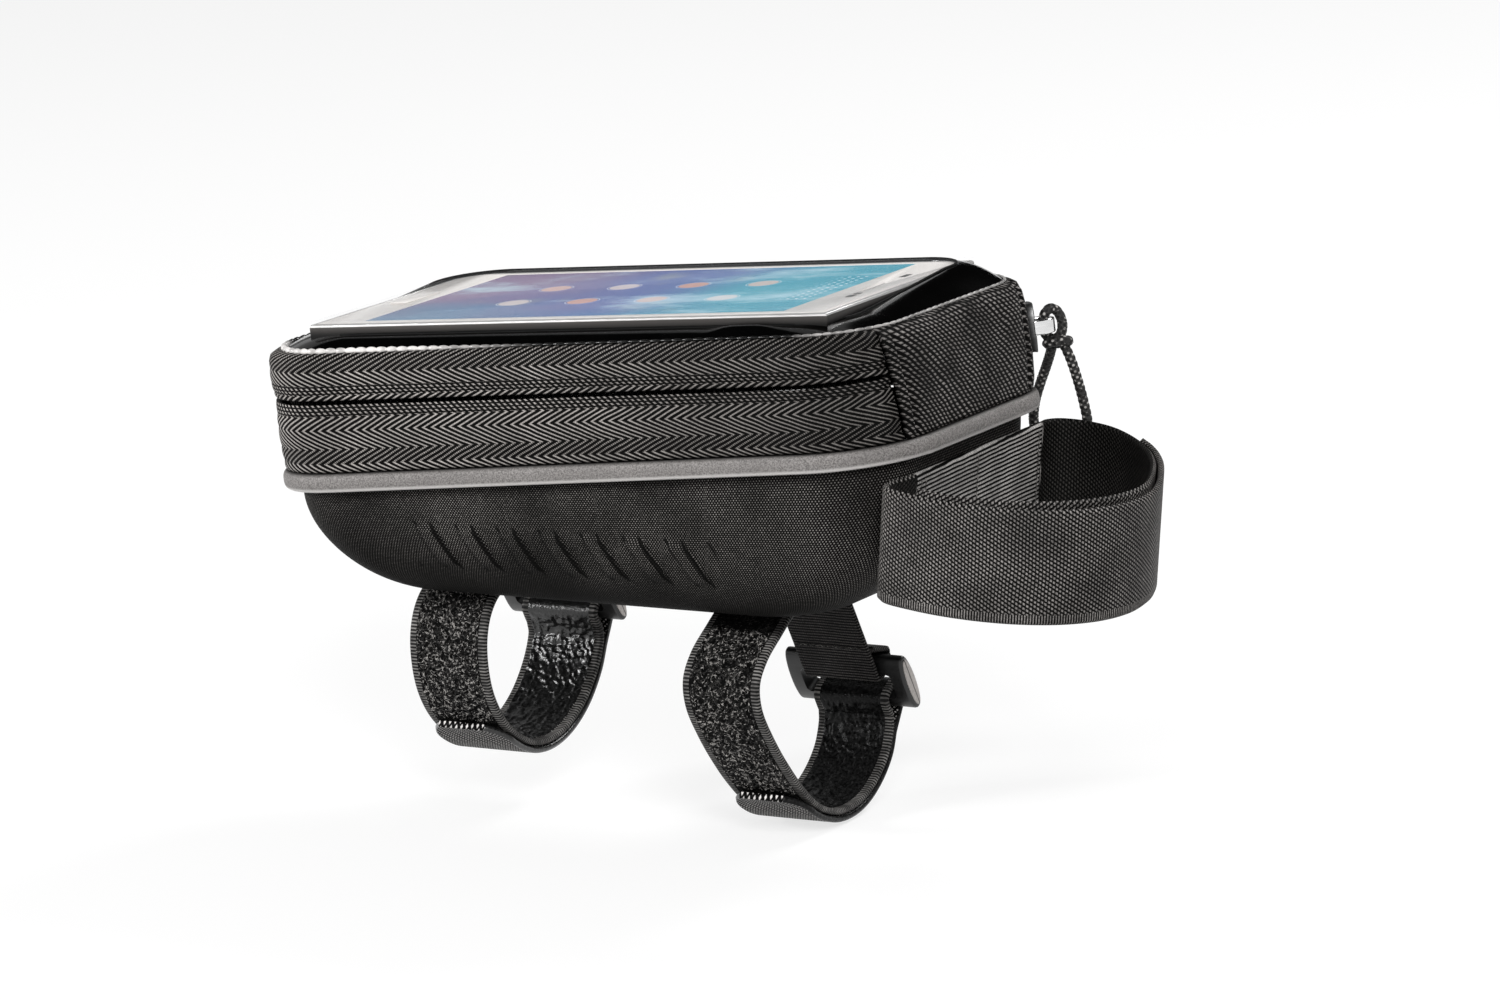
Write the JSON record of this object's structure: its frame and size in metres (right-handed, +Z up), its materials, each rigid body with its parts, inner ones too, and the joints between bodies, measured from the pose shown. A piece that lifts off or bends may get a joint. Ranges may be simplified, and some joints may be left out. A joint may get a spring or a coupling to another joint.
{
  "type": "top tube phone bag",
  "caption": "Wedge-shaped moulded bag for a bicycle's top tube, with a zipped lid, a window over a phone, two buckled tube straps and a loop for the head tube.",
  "frame": {"origin": "middle of the flat seat under the shell, which rests on the top tube", "axes": "+X forward to the handlebar, +Y to the bicycle's left, +Z up"},
  "size_m": [0.2176, 0.0929, 0.1286],
  "materials": {
    "shell_fabric": "fine black weave laminated over moulded foam",
    "reflective_grey": "matte warm grey reflective tape",
    "zip_tape": "charcoal herringbone zip tape",
    "coil_nylon": "black nylon coil",
    "front_weave": "coarse black ballistic weave with grey glints",
    "window_frame_gloss": "glossy black moulded film",
    "window_clear": "clear glossy film",
    "foam": "dark grey foam",
    "lining": "dark grey lining cloth",
    "phone_white": "glossy warm white",
    "phone_silver": "bright silver band",
    "phone_screen": "lit screen, blue and teal gradient",
    "phone_black": "black mesh",
    "slider_metal": "bright nickel with a blackened plate",
    "cord_black": "black braid with grey flecks",
    "strap_rubber": "loop pile outside, pebbled gloss grip inside",
    "webbing": "ribbed black webbing with grey glints",
    "buckle_plastic": "satin black with light grey end caps"
  },
  "bodies": {
    "base": {"base_shell": "shell_fabric", "reflective_piping": "reflective_grey", "lower_zip_tape": "zip_tape", "lower_coil": "coil_nylon", "front_panel": "front_weave", "rear_strap": "strap_rubber", "rear_strap_tab": "webbing", "rear_buckle": "buckle_plastic", "front_strap": "strap_rubber", "front_strap_tab": "webbing", "front_buckle": "buckle_plastic", "head_strap_patch": "webbing", "head_strap_near_tail": "webbing", "head_strap_far_tail": "webbing"},
    "lid": {"upper_zip_tape": "zip_tape", "upper_coil": "coil_nylon", "window_frame": "window_frame_gloss", "window_film": "window_clear", "pocket_panel": "lining", "phone_pad": "foam", "phone_back_shell": "phone_white", "phone_rim": "phone_silver", "phone_front_glass": "phone_white", "phone_screen": "phone_screen", "earpiece_mesh": "phone_black"},
    "slider": {"zip_slider": "slider_metal", "cord_knot": "cord_black", "pull_cord": "cord_black"}
  },
  "joints": [
    {"name": "lid_hinge", "type": "hinge", "parent": "base", "child": "lid", "pos_m": [0.07705, 0, 0.06915], "axis": [0, 1, 0], "range_deg": [0, 95]},
    {"name": "slider_travel", "type": "hinge", "parent": "base", "child": "slider", "pos_m": [0.06241, 0.0226, 0.03701], "axis": [-0.0958, 0, 0.9954], "range_deg": [0, 38]}
  ]
}
